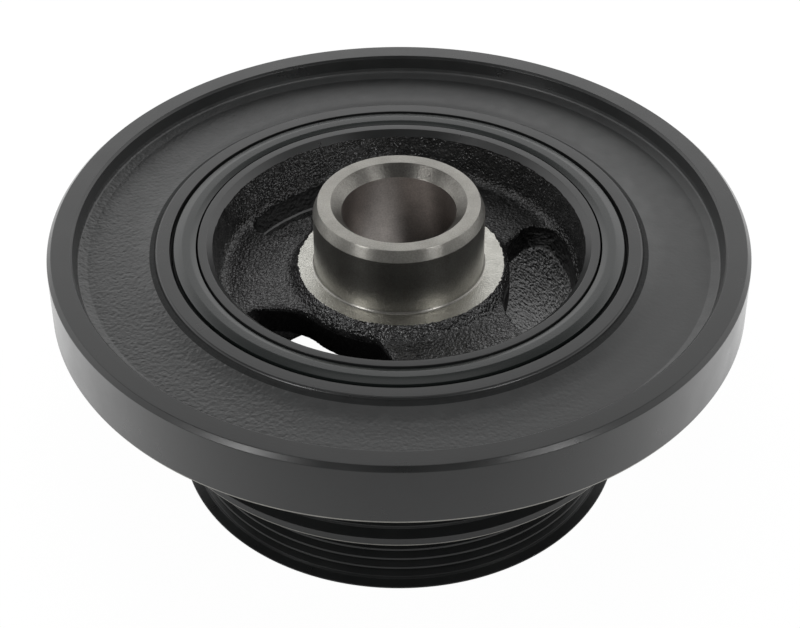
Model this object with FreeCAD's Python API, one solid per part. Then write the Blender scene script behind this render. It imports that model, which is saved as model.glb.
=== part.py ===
import FreeCAD, Part
import math
import os

os.makedirs("parts", exist_ok=True)

# Crankshaft pulley with a torsional damper, standing on its front face, nose up.
# The origin is the centre of the front face and +Z runs along the bore to the nose.
# All sizes are in millimetres.

overall_height = 86.0

# Hub: bore and nose
bore_r = 16.0
bore_lead_in = 3.0
bore_front_chamfer = 1.0
nose_r = 24.0
nose_chamfer_width = 1.3
nose_chamfer_height = 3.2
shoulder_width = 5.15

# Hub: spider between the nose and the drum
shoulder_below_drum_top = 8.5
boss_side_width = 2.65
boss_drop = 3.5
web_fall = 1.7
web_thickness = 7.95
web_root_bevel = 1.6
seat_boss_r = 25.0
seat_boss_flare = 3.6
seat_boss_height = 5.2

# Hub: spokes with parallel sides, and the windows between them
spoke_count = 3
spoke_width = 37.0
first_spoke_angle = 56.5
window_inner_inset = 0.3
window_outer_margin = 1.0
window_inner_corner = 10.0
window_outer_corner = 6.0

# Hub: drum, with draft inside both cups
drum_top_z = 74.0
drum_outer_r = 56.6
drum_wall = 4.2
drum_draft = 1.4
drum_mouth_chamfer = 1.6
skirt_wall = 3.6
skirt_draft = 1.8
skirt_mouth_chamfer = 2.8

# Belt tracks: six V ribs each
rib_count = 6
rib_pitch = 3.56
rib_half_angle = 20.0
rib_crest_flat = 1.1

# Hub track
hub_crest_step = 5.6
hub_flange_step = 2.7
hub_flange_height = 0.6
hub_flange_slope = 10.0
hub_track_land = 0.7
track_gap = 1.4

# Damping ring
damper_thickness = 6.9
damper_length = 42.0
damper_rise = 0.2
damper_inner_shoulder = 1.6
damper_outer_shoulder = 2.2
damper_shoulder_drop = 1.4
hub_seat_gap = 0.0
ring_seat_gap = 0.0

# Inertia ring
ring_r = 98.0
ring_rise = 2.55
rim_height = 18.5
rim_chamfer = 1.2
rim_width = 6.5
rim_inner_chamfer = 0.6
recess_depth = 5.5
recess_draft = 1.0
lip_width = 5.0
lip_draft = 0.4
lip_drop = 3.0
lip_edge_chamfer = 0.5
ring_bore_chamfer = 0.8
ring_crest_step = 7.0
ring_flange_step = 2.9
ring_flange_height = 2.7
ring_flange_slope = 20.0
ring_track_land = 0.6
ring_neck_bevel = 2.0
underside_pocket_r = 84.0
underside_pocket_depth = 1.5

# Levels and radii that follow from the sizes above
shoulder_z = drum_top_z - shoulder_below_drum_top
web_top_z = shoulder_z - boss_drop
web_foot_z = web_top_z - web_fall
web_underside_z = web_foot_z - web_thickness
seat_z = web_underside_z - seat_boss_height
shoulder_r = nose_r + shoulder_width
boss_side_r = shoulder_r + boss_side_width
drum_mouth_r = drum_outer_r - drum_wall
drum_foot_r = drum_mouth_r - drum_draft
skirt_mouth_r = drum_outer_r - skirt_wall
hub_crest_r = drum_outer_r + hub_crest_step
hub_flange_r = hub_crest_r + hub_flange_step
hub_crest_z = hub_flange_height + hub_flange_step * math.tan(math.radians(hub_flange_slope))
hub_grooves_z = hub_crest_z + hub_track_land
hub_track_top_z = hub_grooves_z + rib_count * rib_pitch + hub_track_land

ring_bore_r = drum_outer_r + damper_thickness
lip_r = ring_bore_r + lip_width
ring_crest_r = ring_bore_r + ring_crest_step
ring_flange_r = ring_crest_r + ring_flange_step
rim_inner_r = ring_r - rim_width
ring_top_z = drum_top_z + ring_rise
rim_under_z = ring_top_z - rim_height
lip_z = ring_top_z - lip_drop
recess_z = ring_top_z - recess_depth
ring_bottom_z = hub_track_top_z + track_gap
ring_flange_z = ring_bottom_z + ring_flange_height
ring_crest_z = ring_flange_z + ring_flange_step * math.tan(math.radians(ring_flange_slope))


def bevelled(points):
    """The outline with each corner that has a third number cut back by that reach on both sides."""
    cut = []
    for i, point in enumerate(points):
        corner = point[:2]
        if len(point) == 2:
            cut.append(corner)
            continue
        for beside in (points[i - 1], points[(i + 1) % len(points)]):
            share = point[2] / math.dist(corner, beside[:2])
            cut.append((corner[0] + (beside[0] - corner[0]) * share,
                        corner[1] + (beside[1] - corner[1]) * share))
    return cut


def turned(points):
    """Solid of revolution about Z from (radius, height) points."""
    corners = [FreeCAD.Vector(r, 0, z) for r, z in bevelled(points)]
    face = Part.Face(Part.makePolygon(corners + corners[:1]))
    return face.revolve(FreeCAD.Vector(0, 0, 0), FreeCAD.Vector(0, 0, 1), 360)


def ribs(crest_r, low_z):
    """Outline points of a belt track's V ribs, downward to low_z."""
    side = (rib_pitch - rib_crest_flat) / 2
    root_r = crest_r - side / math.tan(math.radians(rib_half_angle))
    points = []
    for i in reversed(range(rib_count)):
        middle = low_z + (i + 0.5) * rib_pitch
        points += [(crest_r, middle + side), (root_r, middle), (crest_r, middle - side)]
    return points


def windows():
    """Prisms that cut the windows: a ring less the spokes, with rounded corners."""
    inner_r = boss_side_r - window_inner_inset
    outer_r = drum_foot_r - window_outer_margin
    ring = Part.makeCylinder(outer_r, overall_height).cut(Part.makeCylinder(inner_r, overall_height))
    for i in range(spoke_count):
        spoke = Part.makeBox(drum_outer_r, spoke_width, overall_height, FreeCAD.Vector(0, -spoke_width / 2, 0))
        spoke.rotate(FreeCAD.Vector(0, 0, 0), FreeCAD.Vector(0, 0, 1), first_spoke_angle + i * 360.0 / spoke_count)
        ring = ring.cut(spoke)
    side = math.sqrt(outer_r ** 2 - spoke_width ** 2 / 4) - math.sqrt(inner_r ** 2 - spoke_width ** 2 / 4)
    prisms = ring.Solids
    for radius, corner in ((inner_r, min(window_inner_corner, 0.5 * side)),
                           (outer_r, min(window_outer_corner, 0.3 * side))):
        prisms = [prism.makeFillet(corner, upright_edges(prism, radius)) for prism in prisms]
    return prisms


def upright_edges(prism, radius):
    """Vertical edges of a prism that stand at one radius."""
    return [edge for edge in prism.Edges if len(edge.Vertexes) == 2
            and abs(edge.Vertexes[0].Z - edge.Vertexes[1].Z) > 1
            and abs(math.hypot(edge.Vertexes[0].X, edge.Vertexes[0].Y) - radius) < 1e-3]


def hub_outline():
    """Section of the hub: bore, nose, spider, drum and the lower belt track."""
    nose = [(bore_r, seat_z + bore_front_chamfer),
            (bore_r, overall_height - bore_lead_in),
            (bore_r + bore_lead_in, overall_height),
            (nose_r - nose_chamfer_width, overall_height),
            (nose_r, overall_height - nose_chamfer_height),
            (nose_r, shoulder_z),
            (shoulder_r, shoulder_z),
            (boss_side_r, web_top_z)]
    drum = [(drum_foot_r, web_foot_z, web_root_bevel),
            (drum_mouth_r, drum_top_z - drum_mouth_chamfer),
            (drum_mouth_r + drum_mouth_chamfer, drum_top_z),
            (drum_outer_r, drum_top_z),
            (drum_outer_r, hub_track_top_z),
            (hub_crest_r, hub_track_top_z)]
    front = [(hub_crest_r, hub_crest_z),
             (hub_flange_r, hub_flange_height),
             (hub_flange_r, 0),
             (skirt_mouth_r + skirt_mouth_chamfer, 0),
             (skirt_mouth_r, skirt_mouth_chamfer),
             (skirt_mouth_r - skirt_draft, web_underside_z, web_root_bevel),
             (seat_boss_r + seat_boss_flare, web_underside_z, web_root_bevel),
             (seat_boss_r, seat_z),
             (bore_r + bore_front_chamfer, seat_z)]
    return nose + drum + ribs(hub_crest_r, hub_grooves_z) + front


def hub():
    """One casting with its spider windows cut."""
    return turned(hub_outline()).cut(windows()).removeSplitter()


def inertia_ring():
    """Rim with a sunken face, inner lip and the upper belt track."""
    rim = [(ring_bore_r, lip_z - ring_bore_chamfer),
           (ring_bore_r + ring_bore_chamfer, lip_z),
           (lip_r - lip_edge_chamfer, lip_z),
           (lip_r, lip_z - lip_edge_chamfer),
           (lip_r + lip_draft, recess_z),
           (rim_inner_r - recess_draft, recess_z),
           (rim_inner_r - rim_inner_chamfer, ring_top_z - rim_inner_chamfer),
           (rim_inner_r, ring_top_z),
           (ring_r - rim_chamfer, ring_top_z),
           (ring_r, ring_top_z - rim_chamfer),
           (ring_r, rim_under_z)]
    neck = [(underside_pocket_r, rim_under_z),
            (underside_pocket_r - underside_pocket_depth, rim_under_z + underside_pocket_depth),
            (ring_crest_r, rim_under_z + underside_pocket_depth, ring_neck_bevel)]
    foot = [(ring_crest_r, ring_crest_z),
            (ring_flange_r, ring_flange_z),
            (ring_flange_r, ring_bottom_z),
            (ring_bore_r + ring_bore_chamfer, ring_bottom_z),
            (ring_bore_r, ring_bottom_z + ring_bore_chamfer)]
    return turned(rim + neck + ribs(ring_crest_r, ring_crest_z + ring_track_land) + foot)


def damping_ring():
    """Elastomer sleeve pressed between the drum and the inertia ring."""
    inner = drum_outer_r + hub_seat_gap
    outer = ring_bore_r - ring_seat_gap
    top_z = drum_top_z + damper_rise
    side_top_z = top_z - damper_shoulder_drop
    bottom_z = top_z - damper_length
    return turned([(inner, bottom_z),
                   (inner, side_top_z),
                   (inner + damper_inner_shoulder, top_z),
                   (outer - damper_outer_shoulder, top_z),
                   (outer, side_top_z),
                   (outer, bottom_z)])


for node, shape in (("hub", hub()), ("inertia_ring", inertia_ring()), ("damping_ring", damping_ring())):
    shape.exportStep("parts/" + node + ".step")
    box = shape.BoundBox
    print(node, shape.isValid(), len(shape.Solids), round(shape.Volume / 1000, 1), "cm3",
          round(box.XMax, 2), round(box.ZMin, 2), round(box.ZMax, 2))
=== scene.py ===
"""Crankshaft pulley with a torsional damper: hub casting, rubber ring and inertia ring, on a pale studio floor."""

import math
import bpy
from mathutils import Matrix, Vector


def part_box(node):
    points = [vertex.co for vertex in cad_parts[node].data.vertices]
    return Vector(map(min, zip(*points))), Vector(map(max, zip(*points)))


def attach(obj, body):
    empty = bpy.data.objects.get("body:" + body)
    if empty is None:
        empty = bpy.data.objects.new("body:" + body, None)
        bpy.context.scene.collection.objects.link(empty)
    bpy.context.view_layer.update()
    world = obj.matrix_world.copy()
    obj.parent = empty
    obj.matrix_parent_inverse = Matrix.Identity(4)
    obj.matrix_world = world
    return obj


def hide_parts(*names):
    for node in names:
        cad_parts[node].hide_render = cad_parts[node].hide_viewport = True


bl_info = {
    "name": "Crankshaft Pulley",
    "version": (1, 0, 0),
    "blender": (4, 5, 0),
    "location": "3D View > Sidebar > Pulley",
    "description": "Models a crankshaft pulley with a bonded inertia ring, and its studio stage",
    "category": "Add Mesh",
}

import bpy
import bmesh
from mathutils import Matrix, Vector, noise

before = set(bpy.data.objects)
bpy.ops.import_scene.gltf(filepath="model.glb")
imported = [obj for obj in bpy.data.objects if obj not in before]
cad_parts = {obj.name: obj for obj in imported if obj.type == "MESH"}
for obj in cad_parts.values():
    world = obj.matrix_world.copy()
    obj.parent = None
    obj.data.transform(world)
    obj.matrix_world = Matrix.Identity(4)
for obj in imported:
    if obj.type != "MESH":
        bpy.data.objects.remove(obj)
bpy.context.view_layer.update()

MM = 0.001
HUB_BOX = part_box("hub")
RING_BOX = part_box("inertia_ring")
RUBBER_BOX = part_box("damping_ring")
FULL_TURN = 2 * math.pi

# Facets round the bore: the hub's machined faces, its blank and its boss.
HUB_STEPS = 320
BLANK_STEPS = 180
BOSS_STEPS = 120

# Sizes in millimetres that more than one shape uses.
RIB_PITCH = 3.56
RIB_COUNT = 6
SHOULDER_Z = 65.5
RIM_HEIGHT = 18.5
RECESS_DEPTH = 5.5
LIP_DROP = 3.0
RING_CREST_STEP = 7.0
RING_FLANGE_STEP = 9.9
BOSS_SHIFT = 0.65

# Azimuth in degrees toward which the recess is roughest.
ROUGH_SIDE = 200.0


def arc_points(before, corner, after, radius, steps):
    """Points of the arc that rounds a corner of an outline."""
    a, b, c = Vector(before), Vector(corner), Vector(after)
    to_a, to_c = (a - b).normalized(), (c - b).normalized()
    half = to_a.angle(to_c) / 2
    if half > math.radians(89):
        return [tuple(b)]
    reach = min(radius / math.tan(half), 0.48 * (a - b).length, 0.48 * (c - b).length)
    radius = reach * math.tan(half)
    centre = b + (to_a + to_c).normalized() * (radius / math.sin(half))
    start, end = b + to_a * reach - centre, b + to_c * reach - centre
    turn = start.angle_signed(end)
    points = []
    for i in range(steps + 1):
        points.append(tuple(centre + Matrix.Rotation(-turn * i / steps, 2) @ start))
    return points


def rounded(corners, default=0.25, steps=2):
    """An outline with every corner rounded; a third number is that corner's own radius."""
    points = []
    for i, corner in enumerate(corners):
        radius = corner[2] if len(corner) > 2 else default
        before, after = corners[i - 1][:2], corners[(i + 1) % len(corners)][:2]
        if radius <= 0:
            points.append(tuple(corner[:2]))
            continue
        count = steps if radius < 0.7 else 5
        points += arc_points(before, corner[:2], after, radius, count)
    return points


def divided(points, longest, chosen=lambda point: True):
    """The outline with its chosen runs cut so that none of them is longer than the given length."""
    result = []
    for i, point in enumerate(points):
        following = points[(i + 1) % len(points)]
        parts = max(1, math.ceil(math.dist(point, following) / longest)) if chosen(point) else 1
        for k in range(parts):
            t = k / parts
            result.append((point[0] + (following[0] - point[0]) * t,
                           point[1] + (following[1] - point[1]) * t))
    return result


def ribs(crest_r, low, crest=0.72, root=0.56, half_angle=20.0):
    """Ribbed belt track from its top land downward, with rounded crests and roots."""
    slope = math.tan(math.radians(half_angle))
    depth = (RIB_PITCH - crest - root) / 2 / slope
    points = []
    for i in reversed(range(RIB_COUNT)):
        middle = low + (i + 0.5) * RIB_PITCH
        side = root / 2 + depth * slope
        points += [(crest_r, middle + side, 0.22), (crest_r - depth, middle + root / 2, 0.3),
                   (crest_r - depth, middle - root / 2, 0.3), (crest_r, middle - side, 0.22)]
    return points


def only(obj):
    """Selects one object and makes it active."""
    bpy.ops.object.select_all(action="DESELECT")
    obj.select_set(True)
    bpy.context.view_layer.objects.active = obj


def turned(name, outline, steps, centre=(0.0, 0.0)):
    """Solid of revolution: an outline in millimetres is drawn point by point and spun about the bore."""
    bpy.ops.object.select_all(action="DESELECT")
    bpy.ops.mesh.primitive_plane_add(size=MM, location=(0, 0, 0))
    obj = bpy.context.object
    obj.name = obj.data.name = name
    bpy.ops.object.mode_set(mode="EDIT")
    bpy.ops.mesh.select_all(action="SELECT")
    bpy.ops.mesh.merge(type="CENTER")

    def place(point):
        return Vector((point[0], 0, point[1])) * MM

    bpy.ops.transform.translate(value=place(outline[0]))
    for here, there in zip(outline, outline[1:]):
        bpy.ops.mesh.extrude_vertices_move(
            TRANSFORM_OT_translate={"value": place(there) - place(here)})
    bpy.ops.mesh.select_all(action="DESELECT")
    mesh = bmesh.from_edit_mesh(obj.data)
    for v in mesh.verts:
        v.select = len(v.link_edges) < 2
    mesh.select_flush_mode()
    bmesh.update_edit_mesh(obj.data)
    bpy.ops.mesh.edge_face_add()
    bpy.ops.object.mode_set(mode="OBJECT")
    modified(obj, "SCREW", angle=FULL_TURN, steps=steps, render_steps=steps, axis="Z",
             use_merge_vertices=True, merge_threshold=2e-6)
    bpy.ops.object.mode_set(mode="EDIT")
    bpy.ops.mesh.select_all(action="SELECT")
    bpy.ops.mesh.remove_doubles(threshold=2e-6)
    bpy.ops.mesh.normals_make_consistent(inside=False)
    bpy.ops.transform.translate(value=Vector((*centre, 0)) * MM)
    bpy.ops.object.mode_set(mode="OBJECT")
    return obj


def modified(obj, kind, **settings):
    """Adds a modifier with its settings and applies it."""
    only(obj)
    modifier = obj.modifiers.new(kind.lower(), kind)
    for key, value in settings.items():
        setattr(modifier, key, value)
    bpy.ops.object.modifier_apply(modifier=modifier.name)


def cut_away(obj, tool, operation="DIFFERENCE"):
    """Boolean of two closed solids; the tool is used up."""
    modified(obj, "BOOLEAN", object=tool, operation=operation, solver="MANIFOLD")
    bpy.data.objects.remove(tool)
    if not obj.data.polygons:
        raise RuntimeError(obj.name + " came out empty")


def roughened(obj, name, grain, height, group=""):
    """Moves the surface in and out by a cloudy grain, in millimetres."""
    texture = bpy.data.textures.new(name, "CLOUDS")
    texture.noise_scale = grain * MM
    texture.noise_depth = 2
    modified(obj, "DISPLACE", texture=texture, texture_coords="LOCAL", strength=height * MM,
             mid_level=0.5, vertex_group=group)
    bpy.data.textures.remove(texture)


def polar(point):
    """Radius and height in millimetres, and azimuth in degrees, of a point."""
    azimuth = math.degrees(math.atan2(point.y, point.x)) % 360
    return math.hypot(point.x, point.y) / MM, point.z / MM, azimuth


def vertex_group(obj, name, share):
    """Vertex group that holds each point by its share, worked out from radius, height and azimuth."""
    group = obj.vertex_groups.new(name=name)
    for v in obj.data.vertices:
        weight = share(*polar(v.co))
        if weight > 0:
            group.add([v.index], min(1.0, weight), "REPLACE")
    return name


def shaded(obj, angle=32.0, weighted=True):
    """Smooth shading with sharp edges kept."""
    only(obj)
    bpy.ops.object.shade_smooth_by_angle(angle=math.radians(angle))
    if weighted:
        modified(obj, "WEIGHTED_NORMAL", keep_sharp=True, weight=50)


def painted(obj, finishes, finish_of, colours):
    """Gives a piece its materials, and each face the one that a test of the face names."""
    obj.data.materials.clear()
    for make in finishes:
        obj.data.materials.append(make(colours))
    for face in obj.data.polygons:
        face.material_index = finishes.index(finish_of(face))


def finished(obj, slot, *nodes):
    """Hangs a finished piece on the root, and hides the CAD node that it stands for."""
    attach(obj, "root")
    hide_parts(*nodes)


def linear(value):
    """sRGB hex to linear RGBA."""
    channels = [int(value[i:i + 2], 16) / 255 for i in (1, 3, 5)]
    return (*[c / 12.92 if c <= 0.04045 else ((c + 0.055) / 1.055) ** 2.4 for c in channels], 1.0)


def add_node(tree, kind, inputs=None, **settings):
    """Adds a node with its settings; an input is a value or another node's output."""
    node = tree.nodes.new(kind)
    for key, value in settings.items():
        setattr(node, key, value)
    for socket, value in (inputs or {}).items():
        if isinstance(value, bpy.types.NodeSocket):
            tree.links.new(value, node.inputs[socket])
        else:
            node.inputs[socket].default_value = value
    return node


def new_material(name):
    """Empty node material, its output and its tree."""
    material = bpy.data.materials.new(name)
    material.use_nodes = True
    tree = material.node_tree
    tree.nodes.clear()
    return material, tree, add_node(tree, "ShaderNodeOutputMaterial")


def ramp(tree, fac, stops):
    """Colour ramp with (place, grey or linear colour) stops."""
    node = add_node(tree, "ShaderNodeValToRGB", {"Fac": fac})
    elements = node.color_ramp.elements
    while len(elements) < len(stops):
        elements.new(0.5)
    for element, (place, value) in zip(elements, stops):
        element.position = place
        element.color = (value, value, value, 1.0) if isinstance(value, float) else value
    return node.outputs["Color"]


def turning_marks(tree, position, pitch):
    """Value that runs in rings round the bore: across flat faces by radius, along walls by height."""
    flat = add_node(tree, "ShaderNodeVectorMath", {0: position, 1: (1, 1, 0)}, operation="MULTIPLY")
    radius = add_node(tree, "ShaderNodeVectorMath", {0: flat.outputs[0]}, operation="LENGTH")
    height = add_node(tree, "ShaderNodeSeparateXYZ", {0: position})
    along = add_node(tree, "ShaderNodeMath", {0: radius.outputs["Value"], 1: height.outputs["Z"]}, operation="ADD")
    rings = add_node(tree, "ShaderNodeTexNoise", {"W": along.outputs[0], "Scale": 1 / (pitch * MM), "Detail": 2.0},
                     noise_dimensions="1D")
    return rings.outputs["Fac"]


def satin_paint(colours):
    """Thin black dip paint over turned iron: an even satin face with faint rings of the turning tool under it."""
    material, tree, output = new_material("black_dip_paint_on_turned_iron")
    position = add_node(tree, "ShaderNodeTexCoord").outputs["Object"]
    marks = turning_marks(tree, position, 0.5)
    cloud = add_node(tree, "ShaderNodeTexNoise", {"Vector": position, "Scale": 1 / (9 * MM), "Detail": 4.0})
    grit = add_node(tree, "ShaderNodeTexNoise", {"Vector": position, "Scale": 1 / (0.7 * MM), "Detail": 3.0})
    colour = add_node(tree, "ShaderNodeMix", {"Factor": cloud.outputs["Fac"], "A": colours.paint,
                                              "B": colours.paint_worn}, data_type="RGBA")
    rough = add_node(tree, "ShaderNodeMapRange", {"Value": cloud.outputs["Fac"], "From Min": 0.3, "From Max": 0.7,
                                                  "To Min": 0.27, "To Max": 0.33})
    rings = add_node(tree, "ShaderNodeBump", {"Height": marks, "Strength": 0.25, "Distance": 0.02 * MM})
    bump = add_node(tree, "ShaderNodeBump", {"Height": grit.outputs["Fac"], "Strength": 0.5, "Distance": 0.02 * MM,
                                             "Normal": rings.outputs["Normal"]})
    shader = add_node(tree, "ShaderNodeBsdfPrincipled",
                      {"Base Color": colour.outputs["Result"], "Roughness": rough.outputs["Result"],
                       "IOR": 1.58, "Normal": bump.outputs["Normal"]})
    tree.links.new(shader.outputs["BSDF"], output.inputs["Surface"])
    return material


def cast_paint(name, dark, light, *, roughness, ior, grain_size, grain_height, pit_height, painted_shade=None, side=None):
    """Black dip paint over sand-cast iron: a thin gloss that glints on every grain and pit the mould left.

    The grain is drawn with few octaves, because finer ones fall below a pixel and average out. Its sizes are
    in millimetres. A painted shade turns the tone to another colour between two heights, and a side is the azimuth
    toward which the grain grows."""
    material, tree, output = new_material(name)
    position = add_node(tree, "ShaderNodeTexCoord").outputs["Object"]
    grain = add_node(tree, "ShaderNodeTexNoise", {"Vector": position, "Scale": 1 / (grain_size * MM), "Detail": 1.0,
                                                  "Roughness": 0.5})
    pits = add_node(tree, "ShaderNodeTexVoronoi", {"Vector": position, "Scale": 1 / (1.6 * MM)})
    pit = ramp(tree, pits.outputs["Distance"], [(0.0, 0.0), (0.42, 1.0)])
    lumps = add_node(tree, "ShaderNodeTexNoise", {"Vector": position, "Scale": 1 / (4 * MM), "Detail": 3.0})
    tone = ramp(tree, lumps.outputs["Fac"], [(0.3, dark), (0.75, light)])
    if painted_shade:
        height = add_node(tree, "ShaderNodeSeparateXYZ", {0: position})
        share = add_node(tree, "ShaderNodeMapRange", {"Value": height.outputs["Z"], "From Min": painted_shade[1] * MM,
                                                      "From Max": painted_shade[0] * MM})
        tone = add_node(tree, "ShaderNodeMix", {"Factor": share.outputs["Result"], "A": tone, "B": painted_shade[2]},
                        data_type="RGBA").outputs["Result"]
    strength = 1.0
    if side is not None:
        along = add_node(tree, "ShaderNodeVectorMath", {0: position, 1: (math.cos(side), math.sin(side), 0)},
                         operation="DOT_PRODUCT")
        patches = add_node(tree, "ShaderNodeTexNoise", {"Vector": position, "Scale": 1 / (30 * MM), "Detail": 2.0})
        moved = add_node(tree, "ShaderNodeMath", {0: patches.outputs["Fac"], 1: 100 * MM, 2: along.outputs["Value"]},
                         operation="MULTIPLY_ADD")
        grown = add_node(tree, "ShaderNodeMapRange", {"Value": moved.outputs[0], "From Min": 25 * MM,
                                                      "From Max": 125 * MM, "To Min": 0.1, "To Max": 1.0})
        strength = grown.outputs["Result"]
    rough = add_node(tree, "ShaderNodeMapRange", {"Value": lumps.outputs["Fac"], "From Min": 0.3, "From Max": 0.7,
                                                  "To Min": roughness - 0.04, "To Max": roughness + 0.04})
    coarse = add_node(tree, "ShaderNodeBump", {"Height": pit, "Strength": strength, "Distance": pit_height * MM})
    fine = add_node(tree, "ShaderNodeBump", {"Height": grain.outputs["Fac"], "Strength": strength,
                                             "Distance": grain_height * MM, "Normal": coarse.outputs["Normal"]})
    shader = add_node(tree, "ShaderNodeBsdfPrincipled",
                      {"Base Color": tone, "Roughness": rough.outputs["Result"], "IOR": ior,
                       "Normal": fine.outputs["Normal"]})
    tree.links.new(shader.outputs["BSDF"], output.inputs["Surface"])
    return material


def upper_casting(colours):
    """Spider and drum wall as the camera sees them: near black, sparkling with coarse sand grains."""
    return cast_paint("black_dip_paint_on_sand_casting", colours.casting, colours.casting_light,
                      roughness=0.2, ior=1.62, grain_size=0.8, grain_height=0.55, pit_height=0.12)


def window_walls_painted_shade(colours):
    """Cut sides of the windows: a matt skin that stays dark, its darker colour painted shade."""
    return cast_paint("black_dip_paint_with_painted_shade_in_windows", colours.window, colours.window_painted_shade_grains,
                      roughness=0.5, ior=1.3, grain_size=1.2, grain_height=0.5, pit_height=0.1)


def cup_wall_painted_light(colours):
    """Inside of the front cup over coarse sand: painted light on its right side, and painted shade that darkens it up
    toward the web.
    """
    return cast_paint("coarse_sand_casting_with_painted_light_and_shade", colours.cup, colours.cup_painted_light,
                      roughness=0.3, ior=1.6, grain_size=1.0, grain_height=0.9, pit_height=0.3,
                      painted_shade=(53.0, 43.0, colours.window))


def painted_highlight_edge(colours):
    """Lower edge of the rear window: a fine pale line painted on as a highlight."""
    return cast_paint("black_dip_paint_with_painted_highlight", colours.cup_painted_light, colours.cup_painted_light,
                      roughness=0.35, ior=1.5, grain_size=1.4, grain_height=0.1, pit_height=0.02)


def dusty_paint(colours):
    """Foot of the ring's lip, where dust dulls the paint: it stays dark and even."""
    return cast_paint("dusty_black_dip_paint", colours.paint, colours.paint_worn,
                      roughness=0.6, ior=1.35, grain_size=1.3, grain_height=0.1, pit_height=0.03)


def recess_floor(colours):
    """Sunken face of the ring: even paint over a skimmed casting, with soft lumps left on one side."""
    return cast_paint("black_dip_paint_on_skimmed_casting", colours.recess, colours.recess_worn,
                      roughness=0.42, ior=1.66, grain_size=1.2, grain_height=0.2, pit_height=0.07,
                      side=math.radians(ROUGH_SIDE))


def bare_iron(name, dark, light, *, roughness, streak, ring_pitch, grit_size, grit_height):
    """Bare machined iron. Turning rings draw the light out across them; faced grit keeps it even."""
    material, tree, output = new_material(name)
    position = add_node(tree, "ShaderNodeTexCoord").outputs["Object"]
    marks = turning_marks(tree, position, ring_pitch)
    stain = add_node(tree, "ShaderNodeTexNoise", {"Vector": position, "Scale": 1 / (6 * MM), "Detail": 4.0})
    grit = add_node(tree, "ShaderNodeTexNoise", {"Vector": position, "Scale": 1 / (grit_size * MM), "Detail": 3.0,
                                                 "Roughness": 0.7})
    speckle = add_node(tree, "ShaderNodeMix", {"Factor": 0.6, "A": stain.outputs["Fac"], "B": grit.outputs["Fac"]})
    tone = ramp(tree, speckle.outputs["Result"], [(0.35, dark), (0.65, light)])
    rings = add_node(tree, "ShaderNodeBump", {"Height": marks, "Strength": 0.25, "Distance": 0.01 * MM})
    bump = add_node(tree, "ShaderNodeBump", {"Height": grit.outputs["Fac"], "Strength": 1.0,
                                             "Distance": grit_height * MM, "Normal": rings.outputs["Normal"]})
    tangent = add_node(tree, "ShaderNodeTangent", direction_type="RADIAL", axis="Z")
    shader = add_node(tree, "ShaderNodeBsdfPrincipled",
                      {"Base Color": tone, "Metallic": 1.0, "Roughness": roughness,
                       "Anisotropic": streak, "Anisotropic Rotation": 0.25, "Tangent": tangent.outputs["Tangent"],
                       "Normal": bump.outputs["Normal"]})
    tree.links.new(shader.outputs["BSDF"], output.inputs["Surface"])
    return material


def turned_iron(colours):
    """Nose, turned with a fine feed: a dark mirror drawn out into soft upright bands."""
    return bare_iron("bare_iron_turned", colours.iron, colours.iron_light,
                     roughness=0.29, streak=0.8, ring_pitch=0.35, grit_size=0.5, grit_height=0.04)


def bored_iron(colours):
    """Bore, a little rougher than the nose, its colour painted lighter and warmer as its own reflections."""
    return bare_iron("bare_iron_bored_painted_light", colours.bored, colours.bored_painted_light,
                     roughness=0.3, streak=0.7, ring_pitch=0.35, grit_size=0.5, grit_height=0.05)


def ground_iron(colours):
    """Nose end, ground flat: light and even with a sandy grain."""
    return bare_iron("bare_iron_ground", colours.iron, colours.iron_light,
                     roughness=0.33, streak=0.4, ring_pitch=0.5, grit_size=0.4, grit_height=0.09)


def faced_iron(colours):
    """Shoulder, faced with a blunt tool: the palest metal, with open grain like sugar."""
    return bare_iron("bare_iron_faced", colours.faced, colours.faced_light,
                     roughness=0.24, streak=0.0, ring_pitch=0.5, grit_size=0.5, grit_height=0.12)


def chamfered_iron(colours):
    """Lead-in of the bore: the same turning, its colour painted darker as the dark far side it faces."""
    return bare_iron("bare_iron_chamfered_painted_dark", colours.lead_in_painted_shade, colours.iron,
                     roughness=0.3, streak=0.6, ring_pitch=0.3, grit_size=0.5, grit_height=0.06)


def worn_edge(colours):
    """Sharp turned edges, where paint runs off and the iron shines through as a thin pale line."""
    return bare_iron("bare_iron_on_worn_edges", colours.iron, colours.faced,
                     roughness=0.35, streak=0.0, ring_pitch=0.5, grit_size=0.8, grit_height=0.02)


def moulded_rubber(colours):
    """Moulded black rubber: smooth skin with a soft, slightly green-grey shine and a faint waviness."""
    material, tree, output = new_material("moulded_black_rubber")
    position = add_node(tree, "ShaderNodeTexCoord").outputs["Object"]
    cloud = add_node(tree, "ShaderNodeTexNoise", {"Vector": position, "Scale": 1 / (7 * MM), "Detail": 4.0})
    skin = add_node(tree, "ShaderNodeTexNoise", {"Vector": position, "Scale": 1 / (0.5 * MM), "Detail": 3.0})
    colour = add_node(tree, "ShaderNodeMix", {"Factor": cloud.outputs["Fac"], "A": colours.rubber,
                                              "B": colours.rubber_light}, data_type="RGBA")
    bump = add_node(tree, "ShaderNodeBump", {"Height": skin.outputs["Fac"], "Strength": 0.5, "Distance": 0.03 * MM})
    shader = add_node(tree, "ShaderNodeBsdfPrincipled",
                      {"Base Color": colour.outputs["Result"], "Roughness": 0.27, "IOR": 1.58,
                       "Normal": bump.outputs["Normal"]})
    tree.links.new(shader.outputs["BSDF"], output.inputs["Surface"])
    return material


def length(name, description, millimetres):
    """Property that holds a length, from its default in millimetres."""
    return bpy.props.FloatProperty(name=name, description=description, default=millimetres * MM,
                                   unit="LENGTH", precision=5)


def colour(name, description, value):
    """Property that holds a colour, from its default as sRGB hex."""
    return bpy.props.FloatVectorProperty(name=name, description=description, default=linear(value), size=4,
                                         min=0.0, max=1.0, subtype="COLOR")


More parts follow.
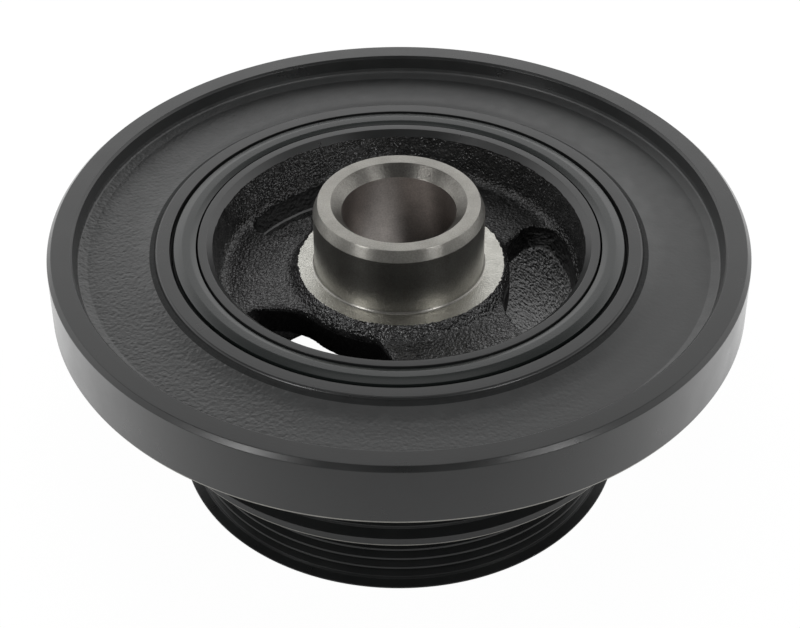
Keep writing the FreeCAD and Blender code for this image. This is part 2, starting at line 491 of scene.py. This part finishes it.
class PulleySizes(bpy.types.PropertyGroup):
    """Sizes of the pulley that a user may change"""
    height: length("Height", "Overall height from front face to nose end", HUB_BOX[1].z / MM)
    rim_radius: length("Rim radius", "Outer radius of the inertia ring", 97.96)
    bore_radius: length("Bore radius", "Radius of the bore", 16.0)
    nose_radius: length("Nose radius", "Radius of the machined nose", 24.0)
    drum_radius: length("Drum radius", "Outer radius of the hub's drum", 56.6)
    drum_top: length("Drum top", "Height of the drum's rim", 74.0)
    ring_bore: length("Ring bore", "Inner radius of the inertia ring", 63.5)
    edge: length("Edge radius", "Radius left on turned edges", 0.25)
    casting_grain: length("Casting grain", "Size of the grid that the casting is rounded on", 0.88)
    casting_relief: length("Casting relief", "Height of the casting's unevenness", 0.35)
    turn_steps: bpy.props.IntProperty(name="Steps", description="Facets round the bore", default=384, min=64)


class PulleyColours(bpy.types.PropertyGroup):
    """Colours of the pulley's finishes and of its backdrop"""
    paint: colour("Paint", "Black paint on turned faces", "#171818")
    paint_worn: colour("Thin paint", "Black paint where it is thin", "#1f2020")
    recess: colour("Recess", "Dry black paint on the sunken face", "#232424")
    recess_worn: colour("Thin recess paint", "Dry black paint where it is thin", "#2a2b2b")
    casting: colour("Casting", "Black paint on rough faces", "#161616")
    casting_light: colour("Casting light", "Lighter grains on rough faces", "#2e2e2e")
    iron: colour("Iron", "Bare machined iron", "#85837e")
    iron_light: colour("Iron light", "Brighter machined iron", "#a3a19b")
    # Window colours are painted shade: darker than the casting, for the shade inside the windows; the cup wall's
    # painted shade also fades to the darker one.
    window: colour("Window", "Dry paint on the cut sides of the windows", "#0b0b0b")
    window_painted_shade_grains: colour("Window light", "Lighter grains in the windows", "#101010")
    # Cup colours are painted light, lighter than the casting, for the light on the cup's right inside wall; the paler
    # one also draws the painted highlight on the rear window's edge.
    cup: colour("Cup", "Thin paint inside the front cup", "#3a3a3a")
    cup_painted_light: colour("Cup light", "Thinnest paint inside the front cup", "#5c5c5c")
    # Lead-in colour is painted shade: darker than the iron, for the dark reflection of the bore's far side.
    lead_in_painted_shade: colour("Lead-in", "Iron of the bore's chamfer", "#615f5b")
    # Bore colours are painted light: lighter and warmer than the iron, for the reflections inside the bore.
    bored: colour("Bore", "Iron inside the bore", "#a29b97")
    bored_painted_light: colour("Bore light", "Brighter iron inside the bore", "#cac3be")
    faced: colour("Shoulder", "Faced iron of the shoulder", "#a6a59e")
    faced_light: colour("Shoulder light", "Brighter grains of the shoulder", "#cccbc4")
    rubber: colour("Rubber", "Moulded rubber", "#171b1a")
    rubber_light: colour("Rubber light", "Lighter rubber skin", "#1e2221")
    backdrop: colour("Backdrop", "Floor and backdrop", "#d2d2d2")


def rough_side(azimuth):
    """Share of roughness left on the ring's casting: it is coarse on one side and nearly smooth opposite."""
    return 0.06 + 0.94 * max(0.0, math.cos(math.radians(azimuth - ROUGH_SIDE))) ** 2


class AddInertiaRing(bpy.types.Operator):
    """Turns the inertia ring with its rim, sunken face, lip and rear belt track"""
    bl_idname = "pulley.add_inertia_ring"
    bl_label = "Add Inertia Ring"

    def outline(self, sizes):
        """Section of the ring, from its bore over the lip, the recess and the rim down to the belt track."""
        top, low = RING_BOX[1].z / MM, RING_BOX[0].z / MM
        rim_r, bore_r = sizes.rim_radius / MM, sizes.ring_bore / MM
        under, floor, lip = top - RIM_HEIGHT, top - RECESS_DEPTH, top - LIP_DROP
        crest_r, flange_r = bore_r + RING_CREST_STEP, bore_r + RING_FLANGE_STEP
        flange = low + 2.7
        crest = flange + 2.9 * math.tan(math.radians(20))
        lip_corners = [(bore_r, lip - 2.2, 0.2), (bore_r + 0.7, lip - 1.3, 0.2), (bore_r + 0.75, lip, 0.15),
                       (bore_r + 4.6, lip, 1.0), (bore_r + 5.1, lip - 0.9, 0.5)]
        recess = [(bore_r + 5.6, floor + 1.3, 0.6), (bore_r + 10.0, floor + 0.1, 25.0),
                  (bore_r + 16.5, floor - 0.25, 70.0), (rim_r - 10.8, floor - 0.25, 1.5),
                  (rim_r - 8.1, floor + 0.55, 0.8)]
        rim = [(rim_r - 7.1, top - 0.6, 0.2), (rim_r - 6.5, top, 0.2), (rim_r - 1.2, top, 0.3),
               (rim_r, top - 1.2, 0.4), (rim_r, under + 0.75, 0.1), (rim_r - 0.32, under, 0.1),
               (84.0, under), (82.5, under + 1.5), (crest_r, under + 1.5, 3.0)]
        foot = [(crest_r, crest, 0.2), (flange_r, flange, 0.3), (flange_r, low + 0.65, 0.1),
                (flange_r - 0.28, low, 0.1), (bore_r + 0.8, low), (bore_r, low + 0.8)]
        corners = lip_corners + recess + rim + ribs(crest_r, crest + 0.6) + foot
        points = divided(rounded(corners, sizes.edge / MM), 60.0)
        return divided(points, 0.9, lambda point: (bore_r + 5 < point[0] < rim_r - 7
                                                   and floor - 1 < point[1] < lip - 0.9))

    def execute(self, context):
        sizes, colours = context.scene.pulley_sizes, context.scene.pulley_colours
        top, low = RING_BOX[1].z / MM, RING_BOX[0].z / MM
        rim_r, bore_r = sizes.rim_radius / MM, sizes.ring_bore / MM
        under, floor, lip = top - RIM_HEIGHT, top - RECESS_DEPTH, top - LIP_DROP
        flange_r = bore_r + RING_FLANGE_STEP

        def coarse(radius, height, azimuth):
            on_floor = bore_r + 6 < radius < rim_r - 8.5 and floor - 0.4 < height < floor + 0.9
            return rough_side(azimuth) if on_floor else 0.0

        def finish_of(face):
            radius, height, azimuth = polar(face.center)
            if radius > rim_r - 0.3 and under + 0.05 < height < under + 0.7:
                return worn_edge
            if radius > flange_r - 0.24 and height < low + 0.6:
                return worn_edge
            if bore_r + 4.85 < radius < bore_r + 6.4 and height < lip - 0.2:
                return dusty_paint
            if bore_r + 5.2 < radius < rim_r - 7.2 and floor - 1 < height < floor + 1.4:
                return recess_floor
            return satin_paint

        ring = turned("inertia_ring_body", self.outline(sizes), sizes.turn_steps)
        group = vertex_group(ring, "floor", coarse)
        roughened(ring, "floor_grain", 2.0, 0.11, group)
        shaded(ring)
        painted(ring, (satin_paint, recess_floor, dusty_paint, worn_edge), finish_of, colours)
        finished(ring, "inertia_ring", "inertia_ring")
        return {"FINISHED"}


class AddDampingRing(bpy.types.Operator):
    """Moulds the rubber ring between the hub and the inertia ring"""
    bl_idname = "pulley.add_damping_ring"
    bl_label = "Add Damping Ring"

    def execute(self, context):
        sizes, colours = context.scene.pulley_sizes, context.scene.pulley_colours
        inner, outer = sizes.drum_radius / MM, sizes.ring_bore / MM
        top, low = RUBBER_BOX[1].z / MM, RUBBER_BOX[0].z / MM
        corners = [(inner, low, 0.5), (inner, top - 2.4, 0.1), (inner + 0.3, top - 1.9, 0.2),
                   (inner + 0.3, top - 0.5, 0.2), (inner + 1.9, top - 0.05, 1.0), (outer - 2.8, top, 0.8),
                   (outer - 0.4, top - 0.6, 0.25), (outer - 0.5, top - 2.2, 0.2), (outer, top - 2.5, 0.1),
                   (outer, low, 0.5)]
        rubber = turned("damping_ring_body", divided(rounded(corners), 12.0), sizes.turn_steps)
        shaded(rubber, weighted=False)
        rubber.data.materials.append(moulded_rubber(colours))
        finished(rubber, "damping_ring", "damping_ring")
        return {"FINISHED"}


# Spoke direction in degrees, its half width and the corner at its foot in millimetres, for both sides of a window.
WINDOWS = ((176.5, 18.3, 15.0, 296.5, 18.7, 4.0),
           (296.5, 18.4, 12.0, 56.5, 18.8, 10.0),
           (56.5, 18.5, 8.0, 176.5, 16.4, 7.0))


def hub_finish(face):
    """Finish of one face of the hub, by its place and slope."""
    radius, height, azimuth = polar(face.center)
    flat = abs(face.normal.z)
    if (height > SHOULDER_Z - 0.01 and radius < 50) or (radius < 16.9 and height > 47.1):
        # Bore gets iron painted lighter and warmer: a painted reflection.
        if radius < 16.05:
            return bored_iron
        # Lead-in gets iron painted darker: a painted reflection.
        if radius < 19.0 and height > 82.9:
            return chamfered_iron
        if flat > 0.95 and height > 80:
            return ground_iron
        if flat > 0.95 and height < 70 and radius > 24.3:
            return faced_iron
        return turned_iron
    if radius > 53.95 or (abs(radius - height + 20) < 0.02 and height > 70):
        return satin_paint
    # Right side of the cup's inside wall gets the lighter cup colours: painted light, as only this side is lit.
    if height < 52.0 and (azimuth < 60 or azimuth > 290):
        return cup_wall_painted_light
    # A strip along the rear window's lower edge gets a pale colour: a painted highlight line.
    if 52.1 < height < 52.95 and 106 < azimuth < 154 and radius > 48.6:
        return painted_highlight_edge
    # Cut sides of the windows get the darker colours: painted shade.
    if height < 60.5 and flat < 0.6 and radius < 50.8:
        return window_walls_painted_shade
    return upper_casting


class AddHub(bpy.types.Operator):
    """Casts the hub as a rough blank with its windows, then machines its turned faces"""
    bl_idname = "pulley.add_hub"
    bl_label = "Add Hub"

    def blank(self, sizes):
        """The casting before machining, with stock on every face that is turned later."""
        web_top, web_under, stock_top = 62.0, 52.35, 90
        corners = [(8, stock_top), (8, 44), (22.8, 44), (28.6, web_under, 3.0), (51.2, web_under, 4.0),
                   (53.2, -2.0), (68, -2), (68, 77), (52.93, 77), (51.0, web_top - 1.7, 2.5),
                   (26, web_top + 0.4), (25.7, stock_top)]
        blank = turned("hub_body", divided(rounded(corners, 0, 3), 20.0), BLANK_STEPS)
        boss_corners = [(10, stock_top), (25.7, stock_top), (25.74, 70), (35.5, 57.1), (10, 55)]
        boss = turned("boss", boss_corners, BOSS_STEPS, centre=(BOSS_SHIFT, 0.0))
        cut_away(blank, boss, "UNION")
        for window in WINDOWS:
            cut_away(blank, self.window(*window))
        modified(blank, "REMESH", mode="VOXEL", voxel_size=sizes.casting_grain, adaptivity=0.0)
        modified(blank, "SMOOTH", factor=0.5, iterations=4)
        roughened(blank, "casting_lumps", 5.0, sizes.casting_relief / MM)
        roughened(blank, "casting_grains", 1.6, sizes.casting_relief / MM * 0.75)
        return blank

    def window(self, low_spoke, low_width, low_corner, high_spoke, high_width, high_corner):
        """Cutter for one window, drawn between two spokes and pulled up through the web."""
        points = window_outline(low_spoke, low_width, low_corner, high_spoke, high_width, high_corner)
        low, height = 46.0, 24
        bpy.ops.object.select_all(action="DESELECT")
        bpy.ops.mesh.primitive_circle_add(vertices=len(points), radius=MM, fill_type="NGON", location=(0, 0, 0))
        cutter = bpy.context.object
        for v, (x, y) in zip(cutter.data.vertices, points):
            v.co = Vector((x, y, low)) * MM
        bpy.ops.object.mode_set(mode="EDIT")
        bpy.ops.mesh.select_all(action="SELECT")
        bpy.ops.mesh.extrude_region_move(TRANSFORM_OT_translate={"value": (0, 0, height * MM)})
        bpy.ops.mesh.select_all(action="SELECT")
        bpy.ops.mesh.normals_make_consistent(inside=False)
        bpy.ops.object.mode_set(mode="OBJECT")
        return cutter

    def machined(self, sizes):
        """Everything that the lathe leaves: the blank is kept only inside this shape."""
        top, bore, nose, drum = (sizes.height / MM, sizes.bore_radius / MM, sizes.nose_radius / MM,
                                 sizes.drum_radius / MM)
        rim = sizes.drum_top / MM
        seat, land = 47.15, 0.7
        crest_r, flange_r = drum + 5.6, drum + 8.3
        crest = 0.6 + 2.7 * math.tan(math.radians(10))
        track_top = crest + 1.4 + RIB_COUNT * RIB_PITCH
        nose_corners = [(bore, seat + 1, 0.1), (bore, top - 3, 0.3), (bore + 3, top, 0.3), (nose - 1.3, top, 0.35),
                        (nose, top - 3.2, 0.8), (nose, SHOULDER_Z, 0.8), (50, SHOULDER_Z, 0), (50, 70, 0)]
        drum_corners = [(54, rim, 0.2), (drum - 0.25, rim, 0.2), (drum, rim - 1.5, 0.3), (drum, track_top, 0.3),
                        (crest_r, track_top, 0.4)]
        foot = [(crest_r, crest, 0.2), (flange_r, 0.6, 0.2), (flange_r, 0, 0.25), (55.8, 0, 0.2), (50, 5.8, 0),
                (30, 5.8, 0), (30, seat, 0), (bore + 1, seat, 0.1)]
        corners = nose_corners + drum_corners + ribs(crest_r, crest + land) + foot
        return turned("machined", divided(rounded(corners, sizes.edge / MM), 20.0), HUB_STEPS)

    def roughen_shoulder(self, hub):
        """Makes the shoulder's edge ragged, as a cut through a rough casting is, by a fixed noise."""
        for v in hub.data.vertices:
            x, y, z = v.co / MM
            if abs(z - SHOULDER_Z) < 0.005 and math.hypot(x - BOSS_SHIFT, y) > 28.0:
                push = 0.45 * noise.noise(Vector((x, y, 7.0)) * 1.7) / math.hypot(x, y)
                v.co.x += x * push * MM
                v.co.y += y * push * MM

    def execute(self, context):
        sizes, colours = context.scene.pulley_sizes, context.scene.pulley_colours
        hub = self.blank(sizes)
        cut_away(hub, self.machined(sizes), "INTERSECT")
        self.roughen_shoulder(hub)
        painted(hub, (upper_casting, satin_paint, turned_iron, ground_iron, faced_iron, window_walls_painted_shade, cup_wall_painted_light,
                      bored_iron, painted_highlight_edge, chamfered_iron), hub_finish, colours)
        shaded(hub, 28.0)
        finished(hub, "hub", "hub")
        return {"FINISHED"}


def window_outline(low_spoke, low_width, low_corner, high_spoke, high_width, high_corner,
                   inner=31.5, outer=50.0, outer_corner=6.0, steps=8):
    """Window between two parallel-sided spokes, as points in millimetres, anticlockwise."""
    def flank(axis, side, width, corner):
        """One straight side of the window along its spoke, with the round corners at both ends."""
        points = []
        for radius, rho, inward in ((corner, inner + corner, True), (outer_corner, outer - outer_corner, False)):
            away = width + radius
            along = math.sqrt(rho ** 2 - away ** 2)
            touch = math.atan2(-away, -along) if inward else math.atan2(away, along)
            first, last = (touch, -math.pi / 2) if inward else (-math.pi / 2, touch)
            for i in range(steps + 1):
                a = first + (last - first) * i / steps
                points.append((along + radius * math.cos(a), away + radius * math.sin(a)))
        turn = math.radians(axis)
        return [(x * math.cos(turn) - side * y * math.sin(turn), x * math.sin(turn) + side * y * math.cos(turn))
                for x, y in points]

    def arc(radius, start, end, cuts=14):
        """Inner or outer side of the window, round the bore."""
        first, last = (math.atan2(p[1], p[0]) for p in (start, end))
        if radius == outer:
            last += FULL_TURN if last < first else 0
        else:
            last -= FULL_TURN if last > first else 0
        angles = [first + (last - first) * i / cuts for i in range(1, cuts)]
        return [(radius * math.cos(a), radius * math.sin(a)) for a in angles]

    low = flank(low_spoke, 1, low_width, low_corner)
    high = flank(high_spoke, -1, high_width, high_corner)[::-1]
    return low + arc(outer, low[-1], high[0]) + high + arc(inner, high[-1], low[0])


# Grey of the studio walls by the height of the direction, from the horizon (0) to straight up (1).
WALL_GREYS = [(0.0, 0.5), (0.3, 0.95), (0.57, 1.05), (0.7, 0.4), (0.78, 0.12), (1.0, 0.1)]
WALL_LIGHT = 1.6
# Grey of the walls from the back of the room (0) round to the camera's side (1).
FRONT_GREYS = [(0.0, 1.0), (0.4, 0.95), (0.6, 0.55), (0.8, 0.22), (1.0, 0.22)]
# The light table's own glow along Y, in metres: dim before the object, bright behind it.
TABLE_LENGTH = 0.6
TABLE_GREYS = [(0.0, 0.1), (0.2, 0.15), (0.45, 0.9), (0.7, 1.0), (1.0, 1.0)]
TABLE_GLOW = 1.2
# The object's own shade on the table, by distance from the bore in metres: full up to one, gone at the other.
SHADE_EDGE, OPEN_EDGE = 0.09, 0.15
SHADE_SHARE = 0.15
# Light that the table gives inside the front cup, in metres: none on the left, growing toward the right.
CUP_RADIUS = 0.058
CUP_LEFT, CUP_RIGHT = -0.01, 0.02
CUP_GLOW = 0.9
# Share of plain white in what the camera sees of the floor; the rest keeps the object's shadow.
WHITE_SHARE = 0.98

# Camera fitted to the photograph: lens and sensor in millimetres, distance from the rim's centre in metres,
# angles in degrees.
CAMERA_LENS, CAMERA_SENSOR = 92.775, 36.0
CAMERA_DISTANCE = 0.577476172
CAMERA_ELEVATION, CAMERA_TILT, CAMERA_PAN, CAMERA_ROLL = 36.5379, 2.35951, -0.023075, -0.12544


class SetStage(bpy.types.Operator):
    """Lays the floor, the lamps and the camera"""
    bl_idname = "pulley.set_stage"
    bl_label = "Set Stage"

    def execute(self, context):
        colours = context.scene.pulley_colours
        self.floor(colours)
        self.world()
        self.lamps()
        self.camera()
        context.scene.view_settings.view_transform = "Standard"
        return {"FINISHED"}

    def floor(self, colours):
        """White paper on a light table: it glows behind the object and lies in shade under it."""
        bpy.ops.object.select_all(action="DESELECT")
        bpy.ops.mesh.primitive_plane_add(size=12.0, location=(0, 0, 0))
        floor = bpy.context.object
        floor.name = floor.data.name = "studio_floor"
        material, tree, output = new_material("white_paper_floor")
        position = add_node(tree, "ShaderNodeTexCoord").outputs["Object"]
        place = add_node(tree, "ShaderNodeSeparateXYZ", {0: position})
        middle = add_node(tree, "ShaderNodeVectorMath", {0: position}, operation="LENGTH").outputs["Value"]
        along = add_node(tree, "ShaderNodeMapRange", {"Value": place.outputs["Y"], "From Min": -TABLE_LENGTH / 2,
                                                      "From Max": TABLE_LENGTH / 2})
        grey = ramp(tree, along.outputs["Result"], TABLE_GREYS)
        shade = add_node(tree, "ShaderNodeMapRange", {"Value": middle, "From Min": SHADE_EDGE,
                                                      "From Max": OPEN_EDGE, "To Min": SHADE_SHARE})
        table = add_node(tree, "ShaderNodeVectorMath", {0: grey, "Scale": shade.outputs["Result"]}, operation="SCALE")
        cup = add_node(tree, "ShaderNodeMapRange", {"Value": place.outputs["X"], "From Min": CUP_LEFT,
                                                    "From Max": CUP_RIGHT, "To Max": CUP_GLOW})
        outside = add_node(tree, "ShaderNodeMath", {0: middle, 1: CUP_RADIUS}, operation="GREATER_THAN")
        glow = add_node(tree, "ShaderNodeMix", {"Factor": outside.outputs[0], "A": cup.outputs["Result"],
                                                "B": table.outputs[0]}, data_type="RGBA")
        light = add_node(tree, "ShaderNodeEmission", {"Color": glow.outputs["Result"], "Strength": TABLE_GLOW})
        paper = add_node(tree, "ShaderNodeBsdfDiffuse", {"Color": colours.backdrop})
        lit = add_node(tree, "ShaderNodeAddShader", {0: paper.outputs[0], 1: light.outputs[0]})
        white = add_node(tree, "ShaderNodeEmission", {"Color": (1, 1, 1, 1), "Strength": 1.0})
        path = add_node(tree, "ShaderNodeLightPath")
        seen = add_node(tree, "ShaderNodeMath", {0: path.outputs["Is Camera Ray"], 1: WHITE_SHARE},
                        operation="MULTIPLY")
        mix = add_node(tree, "ShaderNodeMixShader", {0: seen.outputs[0], 1: lit.outputs[0], 2: white.outputs[0]})
        tree.links.new(mix.outputs[0], output.inputs["Surface"])
        floor.data.materials.append(material)

    def world(self):
        """Studio walls, bright and low behind the object and dim above it; the camera sees plain white."""
        world = bpy.data.worlds.new("studio_world")
        bpy.context.scene.world = world
        world.use_nodes = True
        tree = world.node_tree
        tree.nodes.clear()
        output = add_node(tree, "ShaderNodeOutputWorld")
        path = add_node(tree, "ShaderNodeLightPath")
        direction = add_node(tree, "ShaderNodeTexCoord").outputs["Generated"]
        parts = add_node(tree, "ShaderNodeSeparateXYZ", {0: direction})
        rise = ramp(tree, parts.outputs["Z"], WALL_GREYS)
        rise.node.color_ramp.interpolation = "B_SPLINE"
        toward_camera = add_node(tree, "ShaderNodeMath", {0: parts.outputs["Y"], 1: -0.5, 2: 0.5},
                                 operation="MULTIPLY_ADD")
        front = ramp(tree, toward_camera.outputs[0], FRONT_GREYS)
        both = add_node(tree, "ShaderNodeMix", {"Factor": 1.0, "A": rise, "B": front}, data_type="RGBA",
                        blend_type="MULTIPLY")
        room = add_node(tree, "ShaderNodeBackground", {"Color": both.outputs["Result"], "Strength": WALL_LIGHT})
        white = add_node(tree, "ShaderNodeBackground", {"Color": (1, 1, 1, 1), "Strength": 1.0})
        mix = add_node(tree, "ShaderNodeMixShader",
                       {0: path.outputs["Is Camera Ray"], 1: room.outputs[0], 2: white.outputs[0]})
        tree.links.new(mix.outputs[0], output.inputs["Surface"])

    def lamp(self, name, place, width, height, power, aim=(0, 0, 0.05)):
        """Soft rectangular lamp, in metres and watts, turned toward the object."""
        bpy.ops.object.light_add(type="AREA", location=place)
        lamp = bpy.context.object
        lamp.name = lamp.data.name = name
        lamp.data.shape = "RECTANGLE"
        lamp.data.size, lamp.data.size_y = width, height
        lamp.data.energy = power
        lamp.rotation_euler = (Vector(aim) - Vector(place)).to_track_quat("-Z", "Y").to_euler()

    def lamps(self):
        """A weak lamp overhead, and one on either side of the camera for the soft streaks on the nose."""
        self.lamp("top_softbox", (0, 0.0, 1.6), 1.0, 0.8, 1.5)
        self.lamp("front_left_softbox", (-0.98, -0.86, 0.85), 0.24, 0.8, 5.5)
        self.lamp("front_right_softbox", (0.95, -0.89, 0.85), 0.24, 0.8, 4.2)

    def camera(self):
        """Camera at the photograph's viewing angle."""
        bpy.ops.object.camera_add()
        camera = bpy.context.object
        camera.name = "camera"
        camera.data.sensor_width = CAMERA_SENSOR
        camera.data.lens = CAMERA_LENS
        elevation, tilt, pan, roll = (math.radians(angle) for angle in (CAMERA_ELEVATION, CAMERA_TILT,
                                                                        CAMERA_PAN, CAMERA_ROLL))
        back = Vector((0, -math.cos(elevation), math.sin(elevation)))
        place = Vector((0, 0, RING_BOX[1].z)) + back * CAMERA_DISTANCE
        camera.matrix_world = (Matrix.Translation(place) @ Matrix.Rotation(math.pi / 2 - elevation - tilt, 4, "X")
                               @ Matrix.Rotation(pan, 4, "Y") @ Matrix.Rotation(roll, 4, "Z"))
        camera.data.clip_start, camera.data.clip_end = 0.01, 30.0
        bpy.context.scene.camera = camera


class PulleyPanel(bpy.types.Panel):
    """Sidebar panel with a button for each piece and for the stage, then the sizes and colours"""
    bl_idname = "VIEW3D_PT_pulley"
    bl_label = "Crankshaft Pulley"
    bl_space_type = "VIEW_3D"
    bl_region_type = "UI"
    bl_category = "Pulley"

    def draw(self, context):
        for operator in OPERATORS:
            self.layout.operator(operator.bl_idname)
        for group in (context.scene.pulley_sizes, context.scene.pulley_colours):
            for key in group.bl_rna.properties.keys():
                if key not in ("rna_type", "name"):
                    self.layout.prop(group, key)


OPERATORS = (AddHub, AddDampingRing, AddInertiaRing, SetStage)
CLASSES = (PulleySizes, PulleyColours, *OPERATORS, PulleyPanel)


def register():
    """Registers the classes and hangs their settings on the scene."""
    for cls in CLASSES:
        bpy.utils.register_class(cls)
    bpy.types.Scene.pulley_sizes = bpy.props.PointerProperty(type=PulleySizes)
    bpy.types.Scene.pulley_colours = bpy.props.PointerProperty(type=PulleyColours)


def unregister():
    """Takes the settings and the classes out again."""
    del bpy.types.Scene.pulley_sizes
    del bpy.types.Scene.pulley_colours
    for cls in reversed(CLASSES):
        bpy.utils.unregister_class(cls)


def main():
    register()
    bpy.ops.pulley.add_hub()
    bpy.ops.pulley.add_damping_ring()
    bpy.ops.pulley.add_inertia_ring()
    bpy.ops.pulley.set_stage()


if __name__ == "__main__":
    main()
